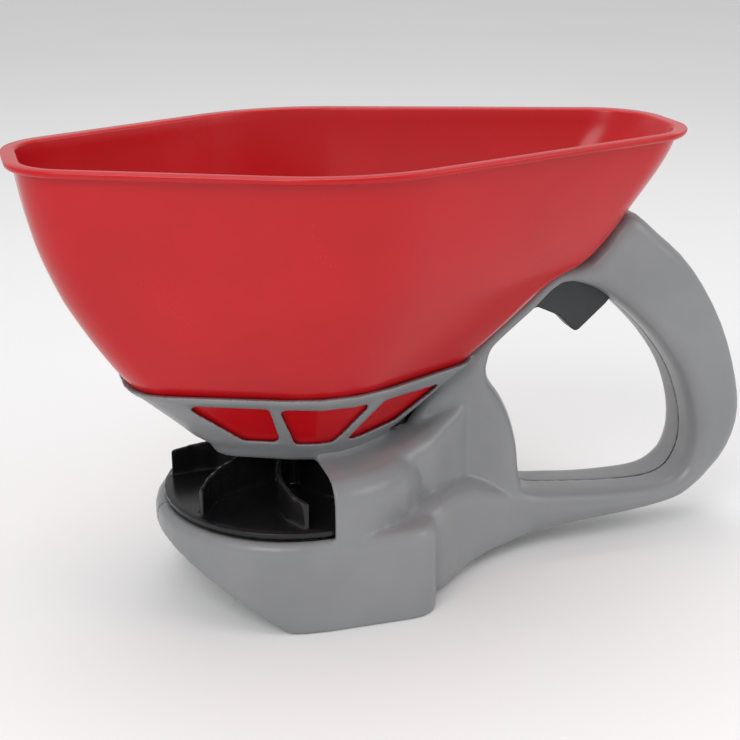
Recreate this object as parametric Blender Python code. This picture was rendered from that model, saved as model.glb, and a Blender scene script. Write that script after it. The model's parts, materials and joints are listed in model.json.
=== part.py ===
# Hand-crank broadcast spreader: a seed hopper on a clamshell body with a D-handle,
# a geared impeller under the hopper and a trigger that opens a sliding gate.
# Frame: metres, +Z up. The origin is on the foot plane under the impeller shaft,
# +X runs to the handle, +Y to the crank side.

import math

import bmesh
import bpy
from mathutils import Vector

for old in list(bpy.data.objects):
    bpy.data.objects.remove(old, do_unlink=True)

MM = 0.001

# ---- fits ------------------------------------------------------------------
GAP = 0.3 * MM              # between pieces that touch
RUN = 0.3 * MM              # radial play of a shaft in its bush
SLIDE = 0.4 * MM            # play of the gate in its slot

# ---- hopper ----------------------------------------------------------------
HOPPER_WALL = 2.2 * MM
HOPPER_DEPTH = 127.6 * MM   # underside of the floor to the rim
RIM_LIP = 4.0 * MM          # how far the rolled rim stands out
RIM_DROP = 2.6 * MM
# One row per height: share of the depth, then the wall's outer line there:
# nose x, half width of the nose flat, half width at the widest, tail x, half width of the tail.
HOPPER_ROWS = (
    (0.000, -35.0, 12.0, 29.5, 39.0, 14.0),
    (0.044, -43.0, 14.0, 33.5, 46.0, 15.5),
    (0.122, -53.5, 17.0, 39.5, 58.0, 17.5),
    (0.240, -70.5, 20.0, 49.0, 76.0, 20.0),
    (0.357, -81.5, 22.0, 57.0, 94.5, 21.0),
    (0.514, -93.5, 23.5, 65.5, 119.0, 23.0),
    (0.561, -96.5, 24.0, 67.5, 133.5, 20.6),
    (0.749, -105.2, 25.5, 73.0, 152.5, 25.8),
    (0.940, -109.8, 27.0, 77.0, 169.2, 29.0),
    (1.000, -110.6, 27.0, 78.0, 172.4, 28.8),
)
WIDEST_X = 9.0 * MM

# ---- heights above the foot ------------------------------------------------
FOOT_PLATE = 3.6 * MM       # base plate thickness
TRAY_TOP = 41.0 * MM        # rim of the tray under the disc
TRAY_FLOOR = 2.5 * MM
TRAY_DEPTH = 2.0 * MM
DISC_TOP = 45.0 * MM
DISC_THICK = 3.0 * MM
CRADLE_BOTTOM = 64.9 * MM
CRADLE_FLOOR = 2.1 * MM
CRADLE_HIGH = 100.0 * MM    # upper edge of the ring round the hopper
GATE_THICK = 1.8 * MM
GATE_LOW = CRADLE_BOTTOM + CRADLE_FLOOR + GAP
HOPPER_LOW = GATE_LOW + GATE_THICK + GAP
RIM_TOP = HOPPER_LOW + HOPPER_DEPTH

# ---- tub, guard, cradle ----------------------------------------------------
WALL = 2.4 * MM
TUB_RADIUS = 61.0 * MM
TUB_BACK = 51.0 * MM
TUB_CORNER = 13.0 * MM
TUB_EDGE = 4.0 * MM
TRAY_RADIUS = 55.0 * MM    # of the recess under the disc
TUB_FRONT_RISE = 31.0 * MM  # height where the sloping front meets the round wall
TUB_FRONT_FOOT = -15.5 * MM  # x where the sloping front meets the foot plane
GUARD_RADIUS = 60.4 * MM
GUARD_TOP = CRADLE_BOTTOM + CRADLE_FLOOR - GAP
GUARD_ROUND = 12.5 * MM
GUARD_FRONT = 3.5 * MM      # x of the guard's open front edge
CRADLE_WALL = 2.4 * MM
BAND_HIGH = 3.6 * MM
BAND_OUT = 0.7 * MM
CRADLE_FIT = 0.5 * MM       # play between hopper and cradle

# ---- side frame: arm, D-handle, spine and post ------------------------------
FRAME_HALF = 18.0 * MM      # half width of arm and handle
FRAME_ROUND = 7.0 * MM
FRAME_STEPS = 3             # sections per station
SPINE_GAP = 1.0 * MM        # under the hopper's sloping back
SPINE_THICK = 5.4 * MM
SPINE_WALL = 1.5 * MM
SPLIT_GAP = 0.15 * MM       # each half stops this far from the middle plane

# ---- impeller and drive ------------------------------------------------------
DISC_RADIUS = 57.0 * MM
VANE_COUNT = 7
VANE_START = math.radians(-20)  # direction of the first vane at the hub
VANE_HIGH = 16.0 * MM
VANE_THICK = 2.2 * MM
VANE_LEVEL = 22.0 * MM      # radius up to which the vanes keep their full height
VANE_FALL = 4.5 * MM        # how much lower they are at the disc's edge
HUB_RADIUS = 8.5 * MM
SHAFT_RADIUS = 3.0 * MM
LAY_HEIGHT = 17.5 * MM
LAY_RADIUS = 3.0 * MM
GEAR_MODULE = 1.5 * MM
CRANK_TEETH = 44
PINION_TEETH = 13
MITRE_TEETH = 12
MITRE_RADIUS = 12.0 * MM
GEAR_FACE = 6.5 * MM
CRANK_HEIGHT = 46.0 * MM
CASE_WALL = 2.2 * MM
CASE_ROOM = 3.0 * MM        # room round the teeth
CASE_PLATE = TUB_RADIUS + 0.6 * MM  # y of the outer face of the gear case's back plate
AXLE_RADIUS = 4.0 * MM
CRANK_ARM = 58.0 * MM
ARM_THICK = 6.0 * MM
KNOB_RADIUS = 9.5 * MM
KNOB_LENGTH = 32.0 * MM

# ---- gate, rod and trigger ---------------------------------------------------
PORT_LOW = 18.0 * MM        # x range of the port through both floors
PORT_LONG = 9.5 * MM
PORT_HALF = 9.0 * MM
GATE_HALF = 11.5 * MM
GATE_FRONT = -18.5 * MM
GATE_BACK = 31.5 * MM
TRIGGER_TRAVEL = 7.0 * MM   # along the hopper's sloping back
TRIGGER_HALF = 5.5 * MM
STRIP_DEPTH = 3.7 * MM      # middle of the pull strip below the hopper's back
STRIP_THICK = 1.2 * MM
STRIP_HALF = 4.0 * MM
LINK_RADIUS = 1.5 * MM
LINK_LOW = Vector((56.0, 0.0, 73.2)) * MM
SPRING_STOP = 79.4 * MM     # x of the rib that the return spring pushes on
LINK_SHARE = 0.40           # how far up the sloping back the link hangs from the strip
LINK_DEPTH = 8.0 * MM
PIN_RADIUS = 1.6 * MM
EYE_WALL = 1.2 * MM
OPEN_PLAY = 0.7 * MM        # play of the link's eye round the gate's pin

# ---- screws ------------------------------------------------------------------
SCREW_RADIUS = 1.5 * MM
HEAD_RADIUS = 3.0 * MM
HEAD_THICK = 1.9 * MM
BOSS_RADIUS = 4.0 * MM
EAR_RADIUS = 5.0 * MM
HEAD_SUNK = 0.2 * MM        # how far the base plate's screw heads lie below its face

ROUND_STEPS = 14
GUARD_STEPS = 36
MERGE = 0.00001             # corners nearer than this become one


# ---- materials ---------------------------------------------------------------
def make_material(name, colour, roughness, metallic=0.0):
    mat = bpy.data.materials.new(name)
    mat.use_nodes = True
    shader = mat.node_tree.nodes["Principled BSDF"]
    shader.inputs["Base Color"].default_value = (*colour, 1.0)
    shader.inputs["Roughness"].default_value = roughness
    shader.inputs["Metallic"].default_value = metallic
    return mat


RED = make_material("hopper_red", (0.52, 0.012, 0.018), 0.32)
GREY = make_material("body_grey", (0.235, 0.245, 0.255), 0.42)
BLACK = make_material("impeller_black", (0.012, 0.012, 0.013), 0.35)
CHARCOAL = make_material("trigger_charcoal", (0.035, 0.038, 0.042), 0.5)
STEEL = make_material("zinc_steel", (0.58, 0.58, 0.57), 0.3, 1.0)
ACETAL = make_material("acetal_white", (0.78, 0.77, 0.72), 0.4)
BRONZE = make_material("sintered_bronze", (0.50, 0.33, 0.16), 0.45, 1.0)


# ---- mesh helpers --------------------------------------------------------------
def add_object(name, mesh_maker, mat, origin=Vector((0, 0, 0)), smooth=35.0):
    mesh = bpy.data.meshes.new(name)
    bmesh.ops.recalc_face_normals(mesh_maker, faces=mesh_maker.faces)
    bmesh.ops.translate(mesh_maker, verts=mesh_maker.verts, vec=-origin)
    mesh_maker.to_mesh(mesh)
    mesh_maker.free()
    mesh.materials.append(mat)
    if smooth:
        mesh.shade_smooth()
        mesh.set_sharp_from_angle(angle=math.radians(smooth))
    obj = bpy.data.objects.new(name, mesh)
    obj.location = origin
    bpy.context.scene.collection.objects.link(obj)
    return obj


def add_tool(name, mesh_maker):
    """A closed shape that only cuts or joins: drawn as wire and never rendered."""
    tool = add_object(name, mesh_maker, GREY, smooth=None)
    tool.hide_render = True
    tool.display_type = "WIRE"
    return tool


def combine(target, tool, operation):
    step = target.modifiers.new(operation.lower() + "_" + tool.name, "BOOLEAN")
    step.operation = operation
    step.solver = "EXACT"
    step.object = tool


def cut(target, *tools):
    for tool in tools:
        combine(target, tool, "DIFFERENCE")


def join(target, *tools):
    for tool in tools:
        combine(target, tool, "UNION")


def settle(obj):
    """Replace the modifiers by their result, without the flat scraps that Booleans leave."""
    graph = bpy.context.evaluated_depsgraph_get()
    mesh = bpy.data.meshes.new_from_object(obj.evaluated_get(graph))
    obj.modifiers.clear()
    obj.data = mesh
    maker = bmesh.new()
    maker.from_mesh(mesh)
    bmesh.ops.remove_doubles(maker, verts=maker.verts, dist=MERGE)
    bmesh.ops.dissolve_degenerate(maker, edges=maker.edges, dist=MERGE)
    bmesh.ops.triangulate(maker, faces=maker.faces)
    seen = {}
    for face in maker.faces:
        seen.setdefault(frozenset(face.verts), []).append(face)
    scraps = [face for twins in seen.values() if len(twins) == 2 for face in twins]
    bmesh.ops.delete(maker, geom=scraps, context="FACES")
    maker.to_mesh(mesh)
    maker.free()


def skin(rings, closed=False):
    """A closed body through rings of equal length; its ends are capped unless it is closed."""
    maker = bmesh.new()
    rows = [[maker.verts.new(point) for point in ring] for ring in rings]
    count = len(rows[0])
    pairs = list(zip(rows, rows[1:]))
    if closed:
        pairs.append((rows[-1], rows[0]))
    for low, high in pairs:
        for i in range(count):
            j = (i + 1) % count
            maker.faces.new((low[i], low[j], high[j], high[i]))
    if not closed:
        maker.faces.new(rows[0][::-1])
        maker.faces.new(rows[-1])
    return maker


def prism(outline, axis, low, high):
    """A flat outline pushed along an axis; the outline's two values fill the other axes in order."""
    def place(point, level):
        values = list(point)
        values.insert("XYZ".index(axis), level)
        return Vector(values)
    return skin([[place(p, low) for p in outline], [place(p, high) for p in outline]])


def box(low, high):
    outline = ((low[0], low[1]), (high[0], low[1]), (high[0], high[1]), (low[0], high[1]))
    return prism(outline, "Z", low[2], high[2])


def circle(radius, centre=(0.0, 0.0), steps=ROUND_STEPS, start=0.0):
    return [
        (
            centre[0] + radius * math.cos(start + math.tau * i / steps),
            centre[1] + radius * math.sin(start + math.tau * i / steps),
        )
        for i in range(steps)
    ]


def turned(profile, axis, centre, steps=ROUND_STEPS, start=0.0):
    """Spin (radius, height) pairs round an axis. A pair with radius 0 is a pole."""
    maker = bmesh.new()
    order = {"Z": (0, 1, 2), "Y": (2, 0, 1), "X": (1, 2, 0)}[axis]

    def place(radius, height, angle):
        local = (radius * math.cos(angle), radius * math.sin(angle), height)
        world = [0.0, 0.0, 0.0]
        for index, slot in enumerate(order):
            world[slot] = local[index]
        return Vector(world) + Vector(centre)

    rows = []
    for radius, height in profile:
        if radius == 0:
            rows.append([maker.verts.new(place(0, height, 0))])
        else:
            angles = [start + math.tau * i / steps for i in range(steps)]
            rows.append([maker.verts.new(place(radius, height, a)) for a in angles])
    pairs = list(zip(rows, rows[1:]))
    if len(rows[0]) > 1:
        pairs.append((rows[-1], rows[0]))
    for low, high in pairs:
        for i in range(steps):
            j = (i + 1) % steps
            if len(low) == 1 and len(high) == 1:
                break
            if len(low) == 1:
                maker.faces.new((low[0], high[j], high[i]))
            elif len(high) == 1:
                maker.faces.new((low[i], low[j], high[0]))
            else:
                maker.faces.new((low[i], low[j], high[j], high[i]))
    return maker


def tube_ring(outer, inner, low, high, axis, centre, steps=ROUND_STEPS):
    return turned([(outer, low), (outer, high), (inner, high), (inner, low)], axis, centre, steps)


def cylinder(radius, low, high, axis, centre=(0, 0, 0), steps=ROUND_STEPS):
    return turned([(0, low), (radius, low), (radius, high), (0, high)], axis, centre, steps)


def filleted(corners, steps):
    """Round each (x, y, radius) corner of a closed outline with an arc of equal steps."""
    points = []
    for index, (x, y, radius) in enumerate(corners):
        here = Vector((x, y))
        before = Vector(corners[index - 1][:2])
        after = Vector(corners[(index + 1) % len(corners)][:2])
        to_before = (before - here).normalized()
        to_after = (after - here).normalized()
        half = to_before.angle(to_after) / 2
        if radius <= 0 or half > math.radians(89.5):
            points.append((x, y))
            continue
        centre = here + (to_before + to_after).normalized() * (radius / math.sin(half))
        first = here + to_before * (radius / math.tan(half)) - centre
        sweep = math.pi - 2 * half
        turn = 1.0 if to_before.x * to_after.y - to_before.y * to_after.x < 0 else -1.0
        for step in range(steps + 1):
            angle = turn * sweep * step / steps
            c, s = math.cos(angle), math.sin(angle)
            points.append((centre.x + c * first.x - s * first.y, centre.y + s * first.x + c * first.y))
    return points


def offset_outline(points, distance):
    """Move a closed outline outwards by a distance, along the mean of its edges' normals."""
    area = sum(a[0] * b[1] - b[0] * a[1] for a, b in zip(points, points[1:] + points[:1]))
    side = 1.0 if area > 0 else -1.0
    moved = []
    for index, point in enumerate(points):
        before = Vector(point) - Vector(points[index - 1])
        after = Vector(points[(index + 1) % len(points)]) - Vector(point)
        n1 = Vector((before.y, -before.x)).normalized() * side
        n2 = Vector((after.y, -after.x)).normalized() * side
        mean = (n1 + n2).normalized()
        stretch = 1.0 / max(0.5, mean.dot(n1))
        moved.append((point[0] + mean.x * distance * stretch, point[1] + mean.y * distance * stretch))
    return moved


def smooth_path(points, per_span, closed=True):
    """Catmull-Rom curve through points of any dimension."""
    count = len(points)
    spans = count if closed else count - 1
    path = []
    for span in range(spans):
        if closed:
            p = [points[(span + k - 1) % count] for k in range(4)]
        else:
            p = [points[min(max(span + k - 1, 0), count - 1)] for k in range(4)]
        for step in range(per_span):
            t = step / per_span
            path.append(tuple(
                0.5 * (2 * b + (c - a) * t + (2 * a - 5 * b + 4 * c - d) * t * t
                       + (3 * b - 3 * c + d - a) * t ** 3)
                for a, b, c, d in zip(*p)
            ))
    if not closed:
        path.append(tuple(points[-1]))
    return path


# ---- hopper --------------------------------------------------------------------
def hopper_row(height):
    """The hopper's outer line at a height above the foot, in metres."""
    share = (height - HOPPER_LOW) / HOPPER_DEPTH
    rows = HOPPER_ROWS
    low, high = rows[0], rows[1]
    for low, high in zip(rows, rows[1:]):
        if share <= high[0]:
            break
    t = (share - low[0]) / (high[0] - low[0])
    return [(a + (b - a) * t) * MM for a, b in zip(low[1:], high[1:])]


def hopper_outline(height, grow=0.0):
    nose, nose_half, wide, tail, tail_half = hopper_row(height)
    share = max(0.0, (height - HOPPER_LOW) / HOPPER_DEPTH)
    side_round = 1.05 * wide
    # The side corner stands out so that its arc reaches the stated half width.
    front = math.atan2(wide - nose_half, WIDEST_X - nose)
    rear = math.atan2(wide - tail_half, tail - WIDEST_X)
    side_corner = wide + side_round * (1 / math.cos((front + rear) / 2) - 1)
    nose_round = nose_half * 0.95
    tail_round = tail_half * (0.55 + 0.45 * share)
    corners = (
        (nose, -nose_half, nose_round),
        (WIDEST_X, -side_corner, side_round),
        (tail, -tail_half, tail_round),
        (tail, tail_half, tail_round),
        (WIDEST_X, side_corner, side_round),
        (nose, nose_half, nose_round),
    )
    outline = filleted(corners, 3)
    return offset_outline(outline, grow) if grow else outline


def hopper_ring(height, grow=0.0, level=None):
    level = height if level is None else level
    return [Vector((x, y, level)) for x, y in hopper_outline(height, grow)]


def hopper_levels():
    return [HOPPER_LOW + row[0] * HOPPER_DEPTH for row in HOPPER_ROWS]


def tail_point(share, depth=0.0):
    """A point on the hopper's sloping back, by its share of that slope, and a depth under it."""
    start = Vector((HOPPER_ROWS[0][4] * MM, 0, HOPPER_LOW))
    end = Vector((HOPPER_ROWS[5][4] * MM, 0, HOPPER_LOW + HOPPER_ROWS[5][0] * HOPPER_DEPTH))
    along = end - start
    under = Vector((along.z, 0, -along.x)).normalized()
    return start + along * share + under * depth


SCREW_PLACES = ((1.0 * MM, 18.9 * MM), (15.0 * MM, 18.9 * MM))
PAD_RADIUS = 3.2 * MM


def make_hopper():
    levels = hopper_levels()
    floor_top = HOPPER_LOW + HOPPER_WALL
    rings = [hopper_ring(z) for z in levels[:-1]]
    rings.append(hopper_ring(RIM_TOP - RIM_DROP))
    rings.append(hopper_ring(RIM_TOP - RIM_DROP, RIM_LIP * 0.8))
    rings.append(hopper_ring(RIM_TOP, RIM_LIP, RIM_TOP - RIM_DROP * 0.5))
    rings.append(hopper_ring(RIM_TOP, RIM_LIP * 0.7))
    rings.append(hopper_ring(RIM_TOP, -HOPPER_WALL * 0.5))
    rings.append(hopper_ring(RIM_TOP, -HOPPER_WALL, RIM_TOP - RIM_DROP * 0.5))
    rings.extend(hopper_ring(z, -HOPPER_WALL) for z in levels[-2:0:-1])
    rings.append(hopper_ring(HOPPER_LOW, -HOPPER_WALL, floor_top))
    hopper = add_object("hopper", skin(rings), RED)
    pads = []
    for x, half in SCREW_PLACES:
        for side in (-1, 1):
            spot = (x, side * half, 0)
            low = GATE_LOW
            pads.append(add_tool("hopper_pad", cylinder(PAD_RADIUS, low, floor_top - GAP, "Z", spot, 12)))
    join(hopper, *pads)
    holes = []
    for x, half in SCREW_PLACES:
        for side in (-1, 1):
            bore = cylinder(SCREW_RADIUS + GAP, 0.06, 0.09, "Z", (x, side * half, 0), 12)
            holes.append(add_tool("hopper_screw_hole", bore))
    port = box(
        (PORT_LOW, -PORT_HALF, HOPPER_LOW - 0.01),
        (PORT_LOW + PORT_LONG, PORT_HALF, floor_top + 0.001),
    )
    holes.append(add_tool("hopper_port", port))
    seat = cylinder(SHAFT_RADIUS + 3 * RUN, HOPPER_LOW - 0.01, floor_top + 0.001, "Z")
    holes.append(add_tool("hopper_shaft_hole", seat))
    cut(hopper, *holes)
    settle(hopper)
    return hopper


# ---- body ----------------------------------------------------------------------
def tub_outline(grow=0.0):
    """Plan of the tub: half a circle in front, straight sides and a square back."""
    radius = TUB_RADIUS + grow
    back = TUB_BACK + grow
    corner = TUB_CORNER + grow
    front = [
        (radius * math.cos(a), radius * math.sin(a))
        for a in (math.radians(90 + 180 * i / 18) for i in range(19))
    ]
    rear = filleted(((0, radius, 0), (0, -radius, 0), (back, -radius, corner), (back, radius, corner)), 4)
    return front + rear[2:]


def slope_cutter(inset):
    """Everything under the sloping front of the tub, moved inwards by an inset."""
    top = Vector((-TUB_RADIUS, TUB_FRONT_RISE))
    foot = Vector((TUB_FRONT_FOOT, 0.0))
    along = (foot - top).normalized()
    inwards = Vector((-along.y, along.x))
    far = 0.05
    a = top - along * far + inwards * inset
    b = foot + along * far + inwards * inset
    low = a - inwards * 0.12
    return prism((a, b, b - inwards * 0.12, low), "Y", -0.09, 0.09)


def tub_solid():
    outline = tub_outline()
    rings = []
    levels = [(0.0, -0.6 * MM), (0.6 * MM, 0.0)]
    for angle in (0, 35, 65, 90):
        turn = math.radians(angle)
        levels.append((TRAY_TOP - TUB_EDGE * (1 - math.sin(turn)), -TUB_EDGE * (1 - math.cos(turn))))
    for z, grow in levels:
        ring = offset_outline(outline, grow) if grow else outline
        rings.append([Vector((x, y, z)) for x, y in ring])
    return skin(rings)


FLARE = (
    # x, half width, low z, high z, corner
    (38.0, 52.0, 0.0, 41.0, 6.0),
    (56.0, 44.5, 0.0, 44.0, 7.0),
    (66.0, 36.0, 0.6, 44.5, 7.0),
    (76.0, 29.0, 2.6, 43.0, 7.0),
    (86.0, 24.0, 4.2, 39.0, 6.5),
    (97.0, 20.3, 5.6, 33.0, 6.0),
    (110.0, 17.6, 7.6, 29.5, 6.0),
)


SADDLE = (
    (27.3, 39.3, 40.2, 65.6, 6.0),
    (41.7, 37.6, 40.2, 67.7, 6.0),
    (56.0, 31.5, 38.9, 71.5, 7.0),
    (66.0, 24.0, 36.5, 76.0, 7.0),
    (76.0, 17.3, 35.6, 80.7, 5.6),
)


def lofted(rows, wall=0.0):
    """A body through rounded rectangles across X: the arm's root or the saddle behind the guard."""
    rings = []
    for x, half, low, high, corner in rows:
        half, low, high, corner = (v * MM for v in (half, low, high, corner))
        half, low, high = half - wall, low + wall, high - wall
        corner = max(corner - wall, 1.0 * MM)
        corners = ((-half, low, corner), (half, low, corner), (half, high, corner), (-half, high, corner))
        rings.append([Vector((x * MM, y, z)) for y, z in filleted(corners, 2)])
    return skin(rings)


def guard_profile(wall):
    """Outer or inner line of the guard: a wall, a round and a roof, as (radius, height)."""
    radius = GUARD_RADIUS - wall
    top = GUARD_TOP - wall
    round_ = GUARD_ROUND - wall
    line = [(radius, TRAY_TOP - TRAY_DEPTH)]
    for i in range(4):
        angle = math.radians(90 * i / 3)
        line.append((radius - round_ + round_ * math.cos(angle), top - round_ + round_ * math.sin(angle)))
    return line + [(0, top)]


def guard_solid(wall=0.0):
    floor = TRAY_TOP - TRAY_DEPTH
    profile = [(0, floor)] + guard_profile(wall)
    if wall:
        ledge = TRAY_TOP + 0.1 * MM
        profile = [(0, floor), (TRAY_RADIUS, floor), (TRAY_RADIUS + 1 * MM, ledge), (GUARD_RADIUS - wall, ledge)]
        profile += guard_profile(wall)[1:]
    return turned(profile, "Z", (0, 0, 0), GUARD_STEPS)


def cradle_rings(grow, low):
    heights = [z for z in hopper_levels() if low < z < CRADLE_HIGH]
    return [hopper_ring(z, grow) for z in [max(low, HOPPER_LOW)] + heights + [CRADLE_HIGH]]


def cradle_solid():
    """The outside of the ring: a sloping wall with a raised band along its upper edge."""
    grow = CRADLE_FIT + CRADLE_WALL
    rings = cradle_rings(grow, CRADLE_BOTTOM)[:-1]
    foot = hopper_ring(HOPPER_LOW, CRADLE_FIT, CRADLE_BOTTOM)
    low = CRADLE_HIGH - BAND_HIGH
    band = [hopper_ring(low, grow), hopper_ring(low + BAND_OUT, grow + BAND_OUT),
            hopper_ring(CRADLE_HIGH - BAND_OUT * 0.5, grow + BAND_OUT), hopper_ring(CRADLE_HIGH, grow + BAND_OUT * 0.5)]
    rings = [ring for ring in rings if ring[0].z < low]
    return skin([foot] + rings + band)


def cradle_pocket():
    rings = cradle_rings(CRADLE_FIT, GATE_LOW)
    floor = hopper_ring(HOPPER_LOW, CRADLE_FIT - 0.4 * MM, GATE_LOW - GAP)
    return skin([floor] + rings + [hopper_ring(RIM_TOP, CRADLE_FIT)])


def frame_stations():
    """Inner point, outer point and half width of the frame, round the finger loop."""
    spine = []
    for share in (0.62, 0.80, 0.985):
        outer = tail_point(share, SPINE_GAP)
        inner = tail_point(share, SPINE_GAP + SPINE_THICK)
        spine.append((inner.x, inner.z, outer.x, outer.z, 15.0 * MM))
    knee = tail_point(1.0, SPINE_GAP)
    rear = (
        # inner x, inner z, outer x, outer z, half width
        (137.0, 125.5, knee.x / MM + 15.0, knee.z / MM + 4.5, 17.0),
        (149.5, 117.0, 151.0, 158.5, 18.0),
        (161.0, 107.0, 168.0, 147.6, 18.0),
        (172.5, 94.5, 186.5, 130.0, 18.0),
        (183.0, 79.0, 203.0, 104.0, 18.0),
        (189.8, 61.0, 213.2, 76.0, 18.0),
        (191.8, 46.0, 215.6, 55.0, 18.0),
        (189.6, 35.0, 208.3, 35.8, 18.0),
        (183.5, 27.3, 192.0, 20.6, 18.0),
        (172.0, 24.4, 178.0, 15.3, 18.0),
        (150.0, 25.2, 150.0, 11.5, 18.0),
        (128.0, 27.5, 128.0, 9.6, 18.0),
        (113.0, 29.4, 108.0, 7.2, 18.0),
        (106.0, 33.5, 88.0, 5.0, 17.5),
        (104.2, 43.0, 66.0, 12.0, 17.0),
        (103.2, 54.0, 62.5, 34.0, 16.5),
        (99.8, 67.0, 62.5, 50.0, 16.0),
        (94.8, 77.5, 60.0, 63.5, 16.0),
        (88.8, 86.5, 50.0, 71.0, 16.0),
    )
    rear = [tuple(v * MM for v in row) for row in rear]
    corner = tail_point(0.55, SPINE_GAP)
    low = tail_point(0.42, SPINE_GAP)
    post = [
        (88.0 * MM, 93.0 * MM, low.x, low.z, 15.5 * MM),
        (88.3 * MM, 99.8 * MM, corner.x, corner.z, 15.0 * MM),
    ]
    return spine + rear + post


def frame_solid(inset=0.0):
    """The closed D of arm, handle, spine and post, or with an inset the hollow inside it."""
    rings = []
    for ix, iz, ox, oz, half in smooth_path(frame_stations(), FRAME_STEPS):
        inner, outer = Vector((ix, 0, iz)), Vector((ox, 0, oz))
        across = (outer - inner).normalized()
        inner, outer = inner + across * inset, outer - across * inset
        depth = (outer - inner).length
        wide = half - inset
        corner = min(FRAME_ROUND - inset * 0.6, depth * 0.45)
        corners = ((0, -wide, corner), (depth, -wide, corner), (depth, wide, corner), (0, wide, corner))
        section = filleted(corners, 2)
        rings.append([inner + across * a + Vector((0, b, 0)) for a, b in section])
    return skin(rings, closed=True)


# Stations whose middle takes a screw through both halves.
FRAME_SCREWS = (5, 8, 10, 14, 19)


def frame_screw_spots():
    stations = frame_stations()
    spots = []
    for index in FRAME_SCREWS:
        ix, iz, ox, oz, half = stations[index]
        spots.append(((ix + ox) / 2, (iz + oz) / 2, half))
    return spots


# ---- trigger and link geometry ---------------------------------------------------
SLOPE_START = tail_point(0.0)
SLOPE_WAY = (tail_point(1.0) - SLOPE_START).normalized()
LINK_TOP = tail_point(LINK_SHARE, LINK_DEPTH)
LINK_REACH = LINK_TOP - LINK_LOW


def gate_travel():
    """How far the gate slides while the trigger makes its whole travel."""
    rise = LINK_REACH.z + SLOPE_WAY.z * TRIGGER_TRAVEL
    run = math.sqrt(LINK_REACH.length_squared - rise * rise)
    return LINK_REACH.x + SLOPE_WAY.x * TRIGGER_TRAVEL - run


GATE_TRAVEL = gate_travel()


def on_slope(outline):
    """Corners given in mm along the hopper's sloping back and below it, as (x, z, radius)."""
    under = tail_point(0.0, 1.0) - SLOPE_START
    placed = []
    for along, depth, radius in outline:
        spot = SLOPE_START + SLOPE_WAY * along * MM + under * depth * MM
        placed.append((spot.x, spot.z, radius * MM))
    return placed


TRIGGER_OUTLINE = (
    (84.6, 5.9, 0.8), (84.6, 10.2, 0.8), (87.4, 11.4, 1.0), (92.2, 21.5, 6.0), (92.8, 26.5, 6.0),
    (93.4, 34.2, 2.4), (112.5, 33.5, 1.0), (121.0, 32.0, 1.5), (121.0, 13.0, 1.5), (108.0, 9.8, 2.0),
    (101.0, 5.9, 2.0),
)
TRIGGER_SLOT = ((82.5, 3.3, 0), (104.0, 3.3, 0), (117.0, 9.6, 0), (130.0, 14.0, 0), (130.0, 35.0, 0),
                (82.5, 35.0, 0))
STRIP_HOOK = ((87.6, 4.0, 0), (87.6, 11.5, 0), (90.0, 11.5, 0), (90.0, 4.0, 0))


# ---- gear train geometry -----------------------------------------------------------
CRANK_PITCH = CRANK_TEETH * GEAR_MODULE / 2
PINION_PITCH = PINION_TEETH * GEAR_MODULE / 2
GEAR_DISTANCE = CRANK_PITCH + PINION_PITCH
CRANK_RISE = CRANK_HEIGHT - LAY_HEIGHT
CRANK_X = math.sqrt(GEAR_DISTANCE ** 2 - CRANK_RISE ** 2)
MESH_ANGLE = math.atan2(-CRANK_RISE, -CRANK_X)
GEAR_START = CASE_PLATE + 1.2 * MM
GEAR_END = GEAR_START + GEAR_FACE
COVER_START = CASE_PLATE + GAP
COVER_END = GEAR_END + 1.2 * MM + CASE_WALL
ARM_START = COVER_END + 5.4 * MM
ARM_END = ARM_START + ARM_THICK


def hull(circles, grow, steps=28):
    """Outline round a pair of circles, as one convex loop."""
    points = []
    for i in range(steps):
        angle = math.tau * i / steps
        way = Vector((math.cos(angle), math.sin(angle)))
        best = max(circles, key=lambda c: way.dot(Vector(c[:2])) + c[2] + grow)
        reach = Vector(best[:2]) + way * (best[2] + grow)
        points.append((reach.x, reach.y))
    return points


CASE_CIRCLES = (
    (CRANK_X, CRANK_HEIGHT, CRANK_PITCH + GEAR_MODULE + CASE_ROOM),
    (0.0, LAY_HEIGHT, PINION_PITCH + GEAR_MODULE + CASE_ROOM),
)


def case_ears():
    """Screw places on the gear case: three round the large circle and one by the small one."""
    spots = []
    for index, degrees in ((0, 105), (0, 25), (0, -55), (1, 190)):
        x, z, radius = CASE_CIRCLES[index]
        reach = radius + CASE_WALL + HEAD_RADIUS + GAP
        angle = math.radians(degrees)
        spots.append((x + reach * math.cos(angle), z + reach * math.sin(angle)))
    return spots


PLATE_SCREWS = ((12.0 * MM, 50.0 * MM), (40.0 * MM, 48.0 * MM))

WINDOWS = (
    ((-52.0, 95.2), (-19.0, 94.8), (-12.0, 75.6), (-26.5, 75.6)),
    ((-15.0, 94.6), (24.5, 93.6), (9.8, 74.3), (-6.0, 74.3)),
    ((30.5, 93.2), (63.0, 92.0), (41.0, 76.4), (14.6, 73.6)),
)


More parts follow.
